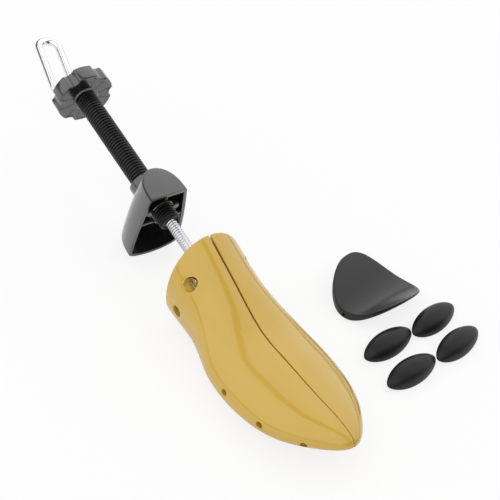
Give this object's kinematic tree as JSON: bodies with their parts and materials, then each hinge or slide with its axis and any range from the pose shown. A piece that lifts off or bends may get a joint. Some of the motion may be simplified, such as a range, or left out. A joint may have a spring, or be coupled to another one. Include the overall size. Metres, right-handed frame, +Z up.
{
  "type": "shoe stretcher",
  "caption": "Two-way shoe stretcher: a split yellow last, a screw-fed wedge, a black star knob and heel block on a threaded tube, a hook handle, and loose plugs with a pad",
  "frame": {"origin": "centre of the bounding box of the whole set, on the floor plane", "axes": "+X along the stretcher from the handle to the toe, +Y to the left of it, where the loose pieces lie, +Z up"},
  "size_m": [0.4046, 0.203, 0.0956],
  "materials": {
    "yellow_plastic": "smooth gloss, faintly streaked along its length",
    "black_plastic": "fine matt texture",
    "steel": "plain turned or drawn steel",
    "chrome": "bright plated wire",
    "brass": "turned brass, hidden inside the last"
  },
  "bodies": {
    "core": {"nut_block": "steel", "feed_nut": "brass", "spine_bar": "steel", "front_guide_block": "steel", "guide_pin_upper": "steel", "guide_pin_lower": "steel", "guide_pin_front": "steel", "frame_screws": "steel"},
    "half_left": {"last_half_left": "yellow_plastic", "ramp_plate_left": "steel", "ramp_screws_left": "steel"},
    "half_right": {"last_half_right": "yellow_plastic", "ramp_plate_right": "steel", "ramp_screws_right": "steel"},
    "wedge": {"spreader_wedge": "steel"},
    "spindle": {"steel_rod": "steel", "hook_handle": "chrome", "tip_ring": "steel", "rear_collar": "steel", "front_collar": "steel"},
    "adjuster": {"adjusting_knob": "black_plastic", "threaded_tube": "black_plastic"},
    "heel": {"heel_block": "black_plastic", "heel_nut": "black_plastic"},
    "pad": {"instep_pad": "black_plastic"},
    "loose_plug_1": {"plug_1": "black_plastic"},
    "loose_plug_2": {"plug_2": "black_plastic"},
    "loose_plug_3": {"plug_3": "black_plastic"},
    "loose_plug_4": {"plug_4": "black_plastic"}
  },
  "joints": [
    {"name": "rod_feed", "type": "slide", "parent": "core", "child": "wedge", "axis": [0.9763, 0, -0.2164], "range_m": [0, 0.02]},
    {"name": "handle_turn", "type": "hinge", "parent": "wedge", "child": "spindle", "pos_m": [0.07136, -0.0616, 0.02486], "axis": [0.9763, 0, -0.2164], "range_deg": [0, 3600]},
    {"name": "knob_turn", "type": "hinge", "parent": "wedge", "child": "adjuster", "pos_m": [-0.14148, -0.0616, 0.07204], "axis": [0.9763, 0, -0.2164], "range_deg": [-720, 11520]},
    {"name": "heel_slide", "type": "slide", "parent": "wedge", "child": "heel", "axis": [0.9763, 0, -0.2164], "range_m": [-0.08, 0.005]},
    {"name": "half_left_slide", "type": "slide", "parent": "core", "child": "half_left", "axis": [0, 1, 0], "range_m": [0, 0.008]},
    {"name": "half_right_slide", "type": "slide", "parent": "core", "child": "half_right", "axis": [0, -1, 0], "range_m": [0, 0.008]},
    {"name": "pad_lift", "type": "slide", "parent": "core", "child": "pad", "axis": [0, 0, 1], "range_m": [0, 0.1]},
    {"name": "plug_1_lift", "type": "slide", "parent": "core", "child": "loose_plug_1", "axis": [0, 0, 1], "range_m": [0, 0.1]},
    {"name": "plug_2_lift", "type": "slide", "parent": "core", "child": "loose_plug_2", "axis": [0, 0, 1], "range_m": [0, 0.1]},
    {"name": "plug_3_lift", "type": "slide", "parent": "core", "child": "loose_plug_3", "axis": [0, 0, 1], "range_m": [0, 0.1]},
    {"name": "plug_4_lift", "type": "slide", "parent": "core", "child": "loose_plug_4", "axis": [0, 0, 1], "range_m": [0, 0.1]}
  ],
  "couplings": [
    {"joint": "handle_turn", "follows": "rod_feed", "rad_per_m": 3141.6},
    {"joint": "half_left_slide", "follows": "rod_feed", "ratio": 0.4},
    {"joint": "half_right_slide", "follows": "rod_feed", "ratio": 0.4},
    {"joint": "knob_turn", "follows": "heel_slide", "rad_per_m": -2513.3}
  ]
}
